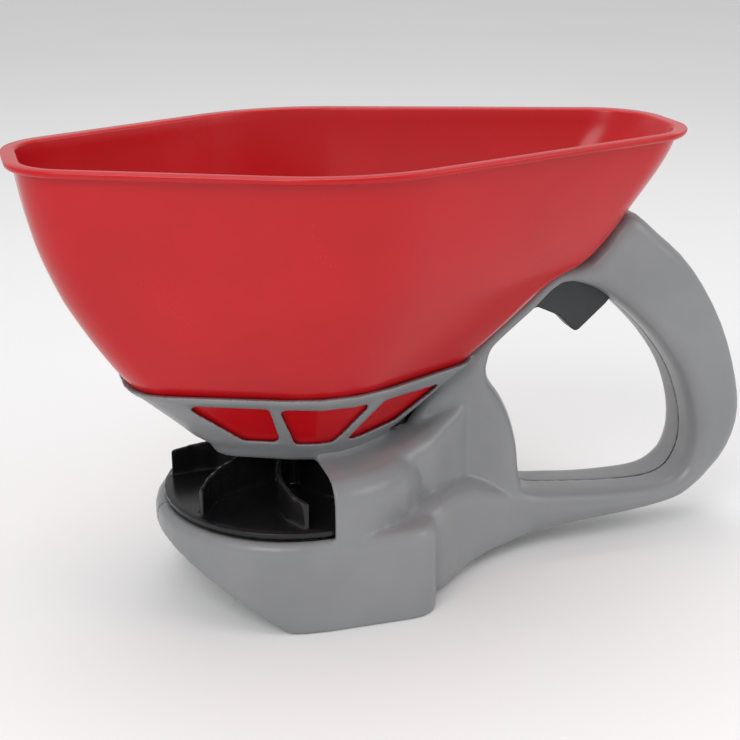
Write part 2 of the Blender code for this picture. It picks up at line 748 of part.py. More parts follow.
# ---- body halves -------------------------------------------------------------------
def body_additions(side):
    guard = add_tool("guard", guard_solid())
    cut(guard, add_tool("guard_front", box((-0.1, -0.1, 0), (GUARD_FRONT, 0.1, 0.2))))
    shapes = [
        add_tool("flare", lofted(FLARE)),
        add_tool("saddle", lofted(SADDLE)),
        guard,
        add_tool("cradle", cradle_solid()),
        add_tool("frame", frame_solid()),
    ]
    if side > 0:
        inside = TUB_RADIUS - WALL
        plate = prism(hull(CASE_CIRCLES, CASE_WALL), "Y", inside + 0.2 * MM, CASE_PLATE)
        shapes.append(add_tool("case_plate", plate))
        boss = cylinder(9.0 * MM, TUB_RADIUS - 8.2 * MM, CASE_PLATE - 0.4 * MM, "Y", (CRANK_X, 0, CRANK_HEIGHT))
        shapes.append(add_tool("axle_boss", boss))
        for x, z in case_ears():
            ear = cylinder(EAR_RADIUS, inside + 0.4 * MM, CASE_PLATE - 0.2 * MM, "Y", (x, 0, z), 14)
            shapes.append(add_tool("case_ear", ear))
    return shapes


def body_hollows():
    floor_low = TRAY_TOP - TRAY_DEPTH - TRAY_FLOOR
    tub = prism(tub_outline(-WALL), "Z", -0.01, floor_low)
    tub = add_tool("tub_hollow", tub)
    cut(tub, add_tool("tub_hollow_front", slope_cutter(WALL)))
    keep = turned([(0, floor_low), (GUARD_RADIUS, floor_low)] + guard_profile(0), "Z", (0, 0, 0), GUARD_STEPS)
    keep = add_tool("guard_keep", keep)
    flare = add_tool("flare_hollow", lofted(FLARE, WALL))
    cut(flare, keep)
    saddle = add_tool("saddle_hollow", lofted(SADDLE, WALL))
    cut(saddle, keep, add_tool("saddle_roof", box((0, -0.1, GATE_LOW - 4 * MM), (0.1, 0.1, 0.1))))
    frame = add_tool("frame_hollow", frame_solid(SPINE_WALL))
    cut(frame, keep)
    return [tub, flare, saddle, frame, add_tool("disc_room", guard_solid(WALL)), add_tool("hopper_room", cradle_pocket())]


def body_bosses(side):
    bosses = []
    for x, z, half in frame_screw_spots():
        bosses.append(cylinder(BOSS_RADIUS, -half + 1.0 * MM, half - 1.0 * MM, "Y", (x, 0, z), 14))
    for x, y in PLATE_SCREWS:
        top = TRAY_TOP - TRAY_DEPTH - 1.0 * MM
        bosses.append(cylinder(BOSS_RADIUS, FOOT_PLATE + GAP, top, "Z", (x, side * y, 0), 14))
    if side < 0:
        top = TRAY_TOP - TRAY_DEPTH - 1.0 * MM
        bosses.append(box((-8 * MM, -22 * MM, FOOT_PLATE + GAP), (8 * MM, -16 * MM, top)))
        post_low = GATE_LOW - 3 * MM
        bosses.append(box((SPRING_STOP, -15 * MM, post_low), (SPRING_STOP + 2 * MM, -2.6 * MM, post_low + 9 * MM)))
    return [add_tool("boss", maker) for maker in bosses]


def body_holes(side):
    holes = []

    def hole(maker):
        holes.append(add_tool("hole", maker))

    for outline in WINDOWS:
        corners = [(x * MM, z * MM, 1.6 * MM) for x, z in outline]
        low, high = sorted((side * 16 * MM, side * 75 * MM))
        hole(prism(filleted(corners, 2), "Y", low, high))
    for x, z, half in frame_screw_spots():
        hole(cylinder(SCREW_RADIUS + GAP, -12.5 * MM, half + 2 * MM, "Y", (x, 0, z), 12))
        if side > 0:
            hole(cylinder(HEAD_RADIUS + GAP, half - 2.9 * MM, half + 2 * MM, "Y", (x, 0, z), 14))
    for x, y in PLATE_SCREWS:
        hole(cylinder(SCREW_RADIUS + GAP, -0.01, 15 * MM, "Z", (x, side * y, 0), 12))
    for x, half in SCREW_PLACES:
        hole(cylinder(SCREW_RADIUS + GAP, 0.05, 0.072, "Z", (x, side * half, 0), 12))
    slot_front = hopper_row(HOPPER_LOW)[3] - 4 * MM
    slot_back = LINK_LOW.x + 3 * MM + GATE_TRAVEL + 4 * MM
    low = GATE_LOW - GAP
    wide_back = GATE_BACK + GATE_TRAVEL + 1 * MM
    hole(box((slot_front, -GATE_HALF - SLIDE, low), (wide_back, GATE_HALF + SLIDE, HOPPER_LOW + 1.2 * MM)))
    hole(box((slot_front + 5 * MM, -9.5 * MM, low), (slot_back, 9.5 * MM, LINK_LOW.z + 6 * MM)))
    port = box((PORT_LOW - 0.5 * MM, -PORT_HALF - 0.5 * MM, 0.06),
               (PORT_LOW + PORT_LONG + 0.5 * MM, PORT_HALF + 0.5 * MM, 0.068))
    hole(port)
    hole(cylinder(5.0 * MM + GAP, 0.03, 0.07, "Z"))
    reach = TRIGGER_HALF + 0.6 * MM
    hole(prism([c[:2] for c in on_slope(TRIGGER_SLOT)], "Y", -reach, reach))
    low, high = (-0.03, 0.0) if side < 0 else (0.05, 0.07)
    hole(cylinder(5.0 * MM + GAP, low, high, "Y", (0, 0, LAY_HEIGHT)))
    if side > 0:
        hole(cylinder(6.2 * MM + GAP, 0.0535, 0.07, "Y", (CRANK_X, 0, CRANK_HEIGHT)))
        for x, z in case_ears():
            hole(cylinder(SCREW_RADIUS + GAP, 0.05, 0.07, "Y", (x, 0, z), 12))
    return holes


def make_body(name, side):
    body = add_object(name, tub_solid(), GREY, smooth=40.0)
    cut(body, add_tool("tub_front", slope_cutter(0.0)))
    join(body, *body_additions(side))
    cut(body, *body_hollows())
    join(body, *body_bosses(side))
    cut(body, *body_holes(side))
    near, far = sorted((side * SPLIT_GAP, side * 0.2))
    combine(body, add_tool("half_space", box((-0.3, near, -0.1), (0.4, far, 0.4))), "INTERSECT")
    settle(body)
    return body


# ---- covers ------------------------------------------------------------------------
def make_base_plate():
    plate = add_object("base_plate", prism(tub_outline(-WALL - GAP), "Z", 0.0, FOOT_PLATE), GREY)
    cut(plate, add_tool("plate_front", slope_cutter(WALL + GAP)))
    for x, y in PLATE_SCREWS:
        for side in (-1, 1):
            spot = (x, side * y, 0)
            cut(plate, add_tool("plate_hole", cylinder(SCREW_RADIUS + GAP, -0.01, 0.01, "Z", spot, 12)))
            head = cylinder(HEAD_RADIUS + GAP, -0.01, HEAD_SUNK + HEAD_THICK + GAP, "Z", spot, 14)
            cut(plate, add_tool("plate_head", head))
    return plate


def make_gear_cover():
    rim = hull(CASE_CIRCLES, CASE_WALL)
    rings = [
        [Vector((x, y, z)) for x, z in offset_outline(rim, grow)]
        for y, grow in ((COVER_START, 0.0), (COVER_END - 2 * MM, 0.0), (COVER_END, -2 * MM))
    ]
    cover = add_object("gear_cover", skin(rings), GREY)
    for x, z in case_ears():
        ear = cylinder(EAR_RADIUS, COVER_START + 0.15 * MM, COVER_START + 4 * MM, "Y", (x, 0, z), 14)
        join(cover, add_tool("cover_ear", ear))
    axle = (CRANK_X, 0, CRANK_HEIGHT)
    join(cover, add_tool("cover_boss", cylinder(9.0 * MM, COVER_START + 4 * MM, ARM_START - 1.2 * MM, "Y", axle)))
    room = prism(hull(CASE_CIRCLES, 0.0), "Y", COVER_START - 1 * MM, COVER_END - CASE_WALL)
    cut(cover, add_tool("cover_room", room))
    cut(cover, add_tool("cover_bore", cylinder(6.2 * MM + GAP, 0.05, 0.09, "Y", axle)))
    for x, z in case_ears():
        cut(cover, add_tool("cover_hole", cylinder(SCREW_RADIUS + GAP, 0.05, 0.09, "Y", (x, 0, z), 12)))
    return cover


# ---- gears -------------------------------------------------------------------------
def tooth_points(teeth, pitch, tip, root, phase):
    """Four corners for each tooth, thinned a little at the pitch line for backlash."""
    points = []
    share = math.pi / 2 / teeth
    for i in range(teeth):
        middle = phase + math.tau * i / teeth
        for radius, wide in ((root, -1.32), (tip, -0.5), (tip, 0.5), (root, 1.32)):
            angle = middle + wide * share
            points.append((radius * math.cos(angle), radius * math.sin(angle)))
    return points


def make_spur_gear(name, teeth, phase, centre, bore, mat):
    pitch = teeth * GEAR_MODULE / 2
    outline = tooth_points(teeth, pitch, pitch + 0.9 * GEAR_MODULE, pitch - 1.2 * GEAR_MODULE, phase)
    outline = [(x + centre.x, z + centre.z) for x, z in outline]
    gear = add_object(name, prism(outline, "Y", GEAR_START, GEAR_END), mat, centre, smooth=None)
    cut(gear, add_tool(name + "_bore", cylinder(bore, 0.05, 0.09, "Y", (centre.x, 0, centre.z))))
    return gear


def make_mitre_gear(name, axis, phase, origin):
    """A 1:1 bevel gear whose pitch cone comes to a point where the two shafts' axes cross."""
    centre = Vector((0, 0, LAY_HEIGHT))
    outline = tooth_points(
        MITRE_TEETH, MITRE_RADIUS, MITRE_RADIUS + 1.1 * MM, MITRE_RADIUS - 1.5 * MM, phase
    )
    back = [tuple(Vector(p).normalized() * (MITRE_RADIUS - 2.2 * MM)) for p in outline]
    rings = []
    for points, scale, level in (
        (outline, 0.55, MITRE_RADIUS * 0.55), (outline, 1.0, MITRE_RADIUS), (back, 1.0, MITRE_RADIUS + 3 * MM)
    ):
        ring = []
        for a, b in points:
            local = (a * scale, level, b * scale) if axis == "Y" else (a * scale, b * scale, level)
            ring.append(centre + Vector(local))
        rings.append(ring)
    gear = add_object(name, skin(rings), ACETAL, origin, smooth=None)
    bore = cylinder(SHAFT_RADIUS + GAP, -0.05, 0.09, axis, (0, 0, LAY_HEIGHT if axis == "Y" else 0))
    cut(gear, add_tool(name + "_bore", bore))
    return gear


# ---- impeller group ----------------------------------------------------------------
IMPELLER_AXIS = Vector((0, 0, DISC_TOP))


def vane_star():
    """Plan of the hub and its curved vanes as one outline."""
    outline = []
    stations = [HUB_RADIUS * 0.9] + [HUB_RADIUS + (DISC_RADIUS - 3 * MM - HUB_RADIUS) * i / 5 for i in range(1, 6)]
    for vane in range(VANE_COUNT):
        start = math.tau * vane / VANE_COUNT + VANE_START
        sides = ([], [])
        for radius in stations:
            sweep = start + 0.62 * (max(0.0, radius - HUB_RADIUS) / DISC_RADIUS) ** 1.5
            half = VANE_THICK / 2 / radius
            for row, sign in zip(sides, (-1, 1)):
                angle = sweep + sign * half
                row.append((radius * math.cos(angle), radius * math.sin(angle)))
        outline += sides[0] + sides[1][::-1]
        between = start + math.pi / VANE_COUNT
        outline.append((HUB_RADIUS * math.cos(between), HUB_RADIUS * math.sin(between)))
    return outline


def make_impeller():
    low = DISC_TOP - DISC_THICK
    profile = [(0, low), (DISC_RADIUS - 0.6 * MM, low), (DISC_RADIUS, low + 0.6 * MM),
               (DISC_RADIUS, DISC_TOP - 0.6 * MM), (DISC_RADIUS - 0.6 * MM, DISC_TOP), (0, DISC_TOP)]
    disc = add_object("impeller", turned(profile, "Z", (0, 0, 0), 40), BLACK, IMPELLER_AXIS)
    join(disc, add_tool("vanes", prism(vane_star(), "Z", low + 1 * MM, DISC_TOP + VANE_HIGH)))
    top = DISC_TOP + VANE_HIGH
    fall = turned([(VANE_LEVEL, top), (DISC_RADIUS, top - VANE_FALL), (DISC_RADIUS + 1 * MM, top + 1 * MM),
                   (VANE_LEVEL, top + 1 * MM)], "Z", (0, 0, 0), 40)
    cut(disc, add_tool("vane_fall", fall))
    cut(disc, add_tool("impeller_bore", cylinder(SHAFT_RADIUS + GAP, 0.03, 0.08, "Z")))
    settle(disc)
    return disc


def make_agitator(low):
    hub = turned([(SHAFT_RADIUS + GAP, low), (6 * MM, low), (5 * MM, low + 8 * MM), (SHAFT_RADIUS + GAP, low + 8 * MM)],
                 "Z", (0, 0, 0), 16)
    agitator = add_object("agitator", hub, BLACK, IMPELLER_AXIS)
    for i in range(3):
        angle = math.tau * i / 3 + 0.5
        way = Vector((math.cos(angle), math.sin(angle), 0))
        path = [way * 4.6 * MM, way * 11 * MM + Vector((0, 0, 1 * MM)), way * 16 * MM + Vector((0, 0, 5 * MM))]
        path = [point + Vector((0, 0, low + 3 * MM)) for point in path]
        join(agitator, add_tool("agitator_arm", swept(path, 1.5 * MM, 8)))
    return agitator


def swept(path, radius, steps, axis=Vector((0, 1, 0))):
    """A round bar along a path, its section kept level with an axis that the path never follows."""
    rings = []
    for index, point in enumerate(path):
        before = path[max(index - 1, 0)]
        after = path[min(index + 1, len(path) - 1)]
        along = (Vector(after) - Vector(before)).normalized()
        side = along.cross(axis).normalized()
        up = along.cross(side)
        rings.append([
            Vector(point) + side * radius * math.cos(math.tau * i / steps)
            + up * radius * math.sin(math.tau * i / steps) for i in range(steps)
        ])
    return skin(rings)


# ---- fasteners and small turned pieces ---------------------------------------------
def make_screw(name, tip, head, axis, spot, origin=Vector((0, 0, 0)), head_radius=HEAD_RADIUS, radius=SCREW_RADIUS):
    """A pan-head screw from its tip to the top of its head along an axis."""
    way = 1 if head > tip else -1
    under = head - way * HEAD_THICK
    edge = head - way * 0.5 * MM
    profile = [(0, tip), (radius, tip), (radius, under), (head_radius, under), (head_radius, edge),
               (head_radius - 0.7 * MM, head), (0, head)]
    return add_object(name, turned(profile, axis, spot, 8), STEEL, origin)


def make_sleeve(name, outer, inner, low, high, axis, spot, mat, origin=Vector((0, 0, 0))):
    return add_object(name, tube_ring(outer, inner, low, high, axis, spot), mat, origin)


# ---- crank group ---------------------------------------------------------------------
CRANK_AXIS = Vector((CRANK_X, CASE_PLATE, CRANK_HEIGHT))
KNOB_AXIS = CRANK_AXIS + Vector((0, 0, CRANK_ARM))


def make_crank_arm():
    circles = ((CRANK_X, CRANK_HEIGHT, 9.5 * MM), (CRANK_X, CRANK_HEIGHT + CRANK_ARM, 8.0 * MM))
    outline = hull(circles, 0.0, 36)
    rings = [
        [Vector((x, y, z)) for x, z in offset_outline(outline, grow)]
        for y, grow in ((ARM_START, -1 * MM), (ARM_START + 1 * MM, 0.0), (ARM_END - 1 * MM, 0.0), (ARM_END, -1 * MM))
    ]
    arm = add_object("crank_arm", skin(rings), BLACK, CRANK_AXIS)
    bore = cylinder(AXLE_RADIUS + GAP, 0.05, 0.12, "Y", (CRANK_X, 0, CRANK_HEIGHT))
    pin = cylinder(3.0 * MM + GAP, 0.05, 0.12, "Y", (KNOB_AXIS.x, 0, KNOB_AXIS.z), 16)
    cut(arm, add_tool("arm_bore", bore), add_tool("arm_pin_hole", pin))
    return arm


def make_knob():
    start = ARM_END + 0.5 * MM
    bore = 3.0 * MM + RUN
    recess = 5.2 * MM + RUN
    sides = [(KNOB_RADIUS * (0.80 + 0.20 * math.sin(math.pi * t / 6)), start + KNOB_LENGTH * t / 6) for t in range(7)]
    profile = [(bore, start)] + sides + [
        (recess, start + KNOB_LENGTH),
        (recess, start + KNOB_LENGTH - 4 * MM),
        (bore, start + KNOB_LENGTH - 4 * MM),
    ]
    return add_object("crank_knob", turned(profile, "Y", (KNOB_AXIS.x, 0, KNOB_AXIS.z), 24), BLACK, KNOB_AXIS)


def make_crank_axle():
    low = TUB_RADIUS - 6.6 * MM
    high = ARM_END - 0.5 * MM
    profile = [(0, low), (AXLE_RADIUS, low), (AXLE_RADIUS, high), (1.8 * MM, high),
               (1.8 * MM, high - 11 * MM), (0, high - 11 * MM)]
    return add_object("crank_axle", turned(profile, "Y", (CRANK_X, 0, CRANK_HEIGHT)), STEEL, CRANK_AXIS)


# ---- gate, link, strip, trigger, spring ------------------------------------------------
GATE_TAIL = LINK_LOW.x + 3 * MM


def pin_and_lug(name, spot, foot):
    """A lug with a pin across it, as shapes to join: the lug reaches from the pin to a foot point."""
    away = (foot - spot).normalized()
    side = Vector((-away.z, 0, away.x))
    corners = [spot - away * 2.6 * MM + side * 2.6 * MM, spot - away * 2.6 * MM - side * 2.6 * MM,
               foot - side * 2.6 * MM, foot + side * 2.6 * MM]
    lug = prism([(c.x, c.z) for c in corners], "Y", 2.3 * MM, STRIP_HALF)
    pin = cylinder(PIN_RADIUS, -2.3 * MM, 3 * MM, "Y", spot, 14)
    return [add_tool(name + "_lug", lug), add_tool(name + "_pin", pin)]


def make_gate():
    top = GATE_LOW + GATE_THICK
    gate = add_object("shutter_gate", box((GATE_FRONT, -GATE_HALF, GATE_LOW), (GATE_BACK, GATE_HALF, top)), CHARCOAL,
                      Vector((0, 0, GATE_LOW)), smooth=None)
    tail = box((GATE_BACK - 2 * MM, -8.6 * MM, GATE_LOW + 0.1 * MM), (GATE_TAIL, 6.5 * MM, top - 0.1 * MM))
    foot = Vector((LINK_LOW.x, 0, GATE_LOW + 0.5 * MM))
    hook = box((GATE_TAIL - 2 * MM, -8.4 * MM, GATE_LOW + 0.4 * MM), (GATE_TAIL - 0.2 * MM, -3.4 * MM, GATE_LOW + 5 * MM))
    join(gate, add_tool("gate_tail", tail), *pin_and_lug("gate", LINK_LOW, foot), add_tool("gate_hook", hook))
    window_high = PORT_LOW + PORT_LONG - GATE_TRAVEL
    room = SHAFT_RADIUS + 1.2 * MM
    slot = box((-room - GATE_TRAVEL, -room, 0.06), (window_high - 2 * MM, room, 0.08))
    window = box((window_high - PORT_LONG, -PORT_HALF, 0.06), (window_high, PORT_HALF, 0.08))
    cut(gate, add_tool("gate_slot", slot), add_tool("gate_window", window))
    return gate


def make_link():
    """The bar between the strip and the gate; its lower eye has the play of the open pivot."""
    way = LINK_REACH.normalized()
    ends = ((LINK_LOW, OPEN_PLAY, way), (LINK_TOP, RUN, -way))
    reach = [spot + inwards * (PIN_RADIUS + play + EYE_WALL / 2) for spot, play, inwards in ends]
    link = add_object("gate_link", swept(reach, LINK_RADIUS, 8), STEEL, LINK_TOP)
    for spot, play, _ in ends:
        eye = cylinder(PIN_RADIUS + play + EYE_WALL, -1.8 * MM, 1.8 * MM, "Y", spot, 14)
        join(link, add_tool("link_eye", eye))
    for spot, play, _ in ends:
        cut(link, add_tool("link_bore", cylinder(PIN_RADIUS + play, -0.01, 0.01, "Y", spot, 14)))
    return link


def slope_bar(low_share, high_share, depth, thick):
    low, high = tail_point(low_share, depth), tail_point(high_share, depth)
    half = (tail_point(0, thick / 2) - tail_point(0))
    corners = [low + half, high + half, high - half, low - half]
    return [(c.x, c.z) for c in corners]


def make_strip():
    """The flat pull strip inside the spine, hooked into the trigger at its upper end."""
    outline = slope_bar(LINK_SHARE - 0.03, 0.895, STRIP_DEPTH, STRIP_THICK)
    strip = add_object("pull_strip", prism(outline, "Y", -STRIP_HALF, STRIP_HALF), CHARCOAL, LINK_TOP, smooth=None)
    foot = tail_point(LINK_SHARE, STRIP_DEPTH - STRIP_THICK * 0.3)
    hook = prism([c[:2] for c in on_slope(STRIP_HOOK)], "Y", -3 * MM, 3 * MM)
    join(strip, *pin_and_lug("strip", LINK_TOP, foot), add_tool("strip_hook", hook))
    return strip


def make_trigger():
    outline = filleted(on_slope(TRIGGER_OUTLINE), 3)
    rings = [
        [Vector((x, y, z)) for x, z in offset_outline(outline, grow)]
        for y, grow in (
            (-TRIGGER_HALF, -0.6 * MM), (-TRIGGER_HALF + 0.6 * MM, 0.0),
            (TRIGGER_HALF - 0.6 * MM, 0.0), (TRIGGER_HALF, -0.6 * MM),
        )
    ]
    trigger = add_object("trigger", skin(rings), CHARCOAL, tail_point(0.9, 20 * MM))
    slot = offset_outline([c[:2] for c in on_slope(STRIP_HOOK)], GAP)
    cut(trigger, add_tool("trigger_slot", prism(slot, "Y", -3 * MM - GAP, 3 * MM + GAP)))
    return trigger


def make_spring(low, high):
    centre = Vector((0, -6 * MM, GATE_LOW + 2.9 * MM))
    turns, steps, coil, wire = 6, 12, 2.3 * MM, 0.55 * MM
    path = []
    for i in range(turns * steps + 1):
        angle = math.tau * i / steps
        x = low + wire + (high - low - 2 * wire) * i / (turns * steps)
        path.append(centre + Vector((x, coil * math.cos(angle), coil * math.sin(angle))))
    return add_object("return_spring", swept(path, wire, 5, Vector((1, 0, 0))), STEEL)


# ---- assembly ------------------------------------------------------------------------
make_hopper()
make_body("body_left", -1)
make_body("body_right", 1)
make_base_plate()
make_gear_cover()

make_impeller()
shaft = [(0, LAY_HEIGHT + 7 * MM), (SHAFT_RADIUS, LAY_HEIGHT + 7 * MM), (SHAFT_RADIUS, 0.087), (0, 0.087)]
add_object("impeller_shaft", turned(shaft, "Z", (0, 0, 0)), STEEL, IMPELLER_AXIS)
make_mitre_gear("impeller_bevel", "Z", math.pi / 2 + math.pi / MITRE_TEETH, IMPELLER_AXIS)
AGITATOR_LOW = HOPPER_LOW + HOPPER_WALL + 3.0 * MM
make_agitator(AGITATOR_LOW)
nut_low = AGITATOR_LOW + 8 * MM + GAP
nut = prism(circle(5.2 * MM, steps=6), "Z", nut_low, nut_low + 4 * MM)
nut = add_object("agitator_nut", nut, STEEL, IMPELLER_AXIS, smooth=None)
cut(nut, add_tool("nut_bore", cylinder(SHAFT_RADIUS + GAP, 0.07, 0.1, "Z")))
make_sleeve("thrust_washer", 7 * MM, SHAFT_RADIUS + GAP, 40.6 * MM, 41.4 * MM, "Z", (0, 0, 0), ACETAL)
tray_floor = TRAY_TOP - TRAY_DEPTH
lower = [(SHAFT_RADIUS + RUN, tray_floor - 4.5 * MM), (5 * MM, tray_floor - 4.5 * MM), (5 * MM, tray_floor + GAP),
         (7.2 * MM, tray_floor + GAP), (7.2 * MM, 40.3 * MM), (SHAFT_RADIUS + RUN, 40.3 * MM)]
add_object("shaft_bush_lower", turned(lower, "Z", (0, 0, 0)), BRONZE)
make_sleeve("shaft_bush_upper", 5 * MM, SHAFT_RADIUS + RUN, DISC_TOP + VANE_HIGH + 1.2 * MM, GATE_LOW - GAP,
            "Z", (0, 0, 0), BRONZE)

LAY_AXIS = Vector((0, CASE_PLATE, LAY_HEIGHT))
lay = cylinder(LAY_RADIUS, -21.5 * MM, GEAR_END + 0.6 * MM, "Y", (0, 0, LAY_HEIGHT))
add_object("layshaft", lay, STEEL, LAY_AXIS)
make_mitre_gear("layshaft_bevel", "Y", math.pi / 2, LAY_AXIS)
pinion_phase = MESH_ANGLE + math.pi + math.pi / PINION_TEETH
make_spur_gear("layshaft_pinion", PINION_TEETH, pinion_phase, LAY_AXIS, LAY_RADIUS + GAP, ACETAL)
lay_spot = (0, 0, LAY_HEIGHT)
make_sleeve("layshaft_bush_inner", 5 * MM, LAY_RADIUS + RUN, -22 * MM, -16 * MM, "Y", lay_spot, BRONZE)
make_sleeve("layshaft_bush_outer", 5 * MM, LAY_RADIUS + RUN, 58 * MM, CASE_PLATE + 0.9 * MM, "Y", lay_spot, BRONZE)

make_crank_axle()
make_spur_gear("crank_gear", CRANK_TEETH, MESH_ANGLE, CRANK_AXIS, AXLE_RADIUS + GAP, ACETAL)
make_crank_arm()
make_knob()
crank_spot = (CRANK_X, 0, CRANK_HEIGHT)
make_screw("crank_screw", ARM_END - 10 * MM, ARM_END + HEAD_THICK + GAP, "Y", crank_spot, CRANK_AXIS, 5 * MM)
knob_spot = (KNOB_AXIS.x, 0, KNOB_AXIS.z)
knob_head = ARM_END + 0.5 * MM + KNOB_LENGTH - 1.6 * MM
make_screw("knob_bolt", ARM_START, knob_head, "Y", knob_spot, CRANK_AXIS, 5.2 * MM, 3.0 * MM)
make_sleeve("axle_bush_inner", 6.2 * MM, AXLE_RADIUS + RUN, 54 * MM, CASE_PLATE + 0.9 * MM, "Y", crank_spot, BRONZE)
make_sleeve("axle_bush_outer", 6.2 * MM, AXLE_RADIUS + RUN, COVER_END - CASE_WALL, ARM_START - 0.4 * MM, "Y",
            crank_spot, BRONZE)

make_gate()
make_link()
make_strip()
make_trigger()
make_spring(GATE_TAIL + GAP, SPRING_STOP - GAP)

for number, (x, z, half) in enumerate(frame_screw_spots(), 1):
    make_screw(f"body_screw_{number}", -12 * MM, half - 0.7 * MM, "Y", (x, 0, z))
for number, (x, z) in enumerate(case_ears(), 1):
    make_screw(f"cover_screw_{number}", CASE_PLATE - WALL, COVER_START + 4 * MM + GAP + HEAD_THICK, "Y", (x, 0, z))
number = 0
for x, y in PLATE_SCREWS:
    for side in (-1, 1):
        number += 1
        make_screw(f"plate_screw_{number}", 14 * MM, HEAD_SUNK, "Z", (x, side * y, 0))
number = 0
for x, half in SCREW_PLACES:
    for side in (-1, 1):
        number += 1
        top = HOPPER_LOW + HOPPER_WALL + GAP + HEAD_THICK
        make_screw(f"hopper_screw_{number}", CRADLE_BOTTOM + GAP, top, "Z", (x, side * half, 0))
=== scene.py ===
import json
import math

import bmesh
import bpy
import numpy as np
from mathutils import Matrix, Vector


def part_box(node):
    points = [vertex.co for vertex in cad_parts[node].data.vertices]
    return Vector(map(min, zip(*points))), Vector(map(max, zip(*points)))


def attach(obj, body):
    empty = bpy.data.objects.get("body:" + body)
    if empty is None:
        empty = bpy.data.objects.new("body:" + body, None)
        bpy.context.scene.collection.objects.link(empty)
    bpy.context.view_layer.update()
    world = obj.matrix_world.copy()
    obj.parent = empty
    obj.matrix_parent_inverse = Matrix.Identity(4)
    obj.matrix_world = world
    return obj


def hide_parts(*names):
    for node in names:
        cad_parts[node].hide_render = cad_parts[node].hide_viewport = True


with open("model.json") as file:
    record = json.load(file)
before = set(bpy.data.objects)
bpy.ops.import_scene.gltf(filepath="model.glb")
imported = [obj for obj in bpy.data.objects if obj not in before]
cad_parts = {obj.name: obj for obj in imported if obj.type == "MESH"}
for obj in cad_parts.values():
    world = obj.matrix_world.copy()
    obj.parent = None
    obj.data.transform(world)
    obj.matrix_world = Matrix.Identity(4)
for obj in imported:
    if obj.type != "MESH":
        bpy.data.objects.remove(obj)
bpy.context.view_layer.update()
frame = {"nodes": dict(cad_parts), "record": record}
mm = 0.001
print("frame loaded")


# ---- shader helpers ----
class Wire:
    # A shader socket that takes part in arithmetic; each operation adds one Math node.
    def __init__(self, look, socket):
        self.look = look
        self.socket = socket

    def math(self, operation, *values):
        node = self.look.add("ShaderNodeMath", {"operation": operation}, dict(enumerate(values)))
        return Wire(self.look, node.outputs[0])

    def __add__(self, other):
        return self.math("ADD", self, other)

    def __radd__(self, other):
        return self.math("ADD", other, self)

    def __sub__(self, other):
        return self.math("SUBTRACT", self, other)

    def __mul__(self, other):
        return self.math("MULTIPLY", self, other)

    def rise(self, low, high):
        node = self.look.add(
            "ShaderNodeMapRange",
            {"interpolation_type": "SMOOTHSTEP"},
            {"Value": self, "From Min": low, "From Max": high},
        )
        return Wire(self.look, node.outputs[0])


class Look:
    # One procedural material: a Principled shader and what feeds it.
    def __init__(self, name):
        self.material = bpy.data.materials.new(name)
        self.material.use_nodes = True
        self.tree = self.material.node_tree
        self.tree.nodes.clear()
        self.shader = self.add("ShaderNodeBsdfPrincipled")
        end = self.add("ShaderNodeOutputMaterial")
        self.tree.links.new(self.shader.outputs[0], end.inputs["Surface"])
        self.place = Wire(self, self.add("ShaderNodeTexCoord").outputs["Object"])

    def feed(self, socket, value):
        if isinstance(value, Wire):
            self.tree.links.new(value.socket, socket)
        elif isinstance(value, tuple) and len(value) == 3 and len(socket.default_value) == 4:
            socket.default_value = (*value, 1.0)
        else:
            socket.default_value = value

    def add(self, kind, settings=None, sockets=None):
        node = self.tree.nodes.new(kind)
        for key, value in (settings or {}).items():
            setattr(node, key, value)
        for key, value in (sockets or {}).items():
            self.feed(node.inputs[key], value)
        return node

    def noise(self, scale, detail=3.0, roughness=0.5, place=None):
        sockets = {"Vector": place or self.place, "Scale": scale, "Detail": detail, "Roughness": roughness}
        return Wire(self, self.add("ShaderNodeTexNoise", None, sockets).outputs[0])

    def stretched(self, x, y, z):
        sockets = {"Vector": self.place, "Scale": (x, y, z)}
        return Wire(self, self.add("ShaderNodeMapping", None, sockets).outputs[0])

    def edges(self):
        return Wire(self, self.add("ShaderNodeNewGeometry").outputs["Pointiness"])

    def mix(self, factor, first, second):
        node = self.add("ShaderNodeMix", {"data_type": "RGBA"}, {0: factor, 6: first, 7: second})
        return Wire(self, node.outputs[2])

    def bump(self, height, distance, strength=1.0, normal=None):
        sockets = {"Height": height, "Distance": distance, "Strength": strength}
        if normal:
            sockets["Normal"] = normal
        return Wire(self, self.add("ShaderNodeBump", None, sockets).outputs[0])

    def set(self, **sockets):
        for key, value in sockets.items():
            self.feed(self.shader.inputs[key.replace("_", " ")], value)


# What every moulded plastic here shares; each material's own values are given where it is made.
handling = {
    "smudgeScale": 26.0, "scratchStretch": (60.0, 60.0, 1400.0), "scratchShare": (0.66, 0.74),
    "scratchDepth": 0.000002, "scratchRough": 0.06, "edge": (0.53, 0.60), "chipScale": 90.0,
    "dustScale": 48.0, "dustColour": (0.42, 0.40, 0.37), "dustRough": 0.4, "ior": 1.49,
}


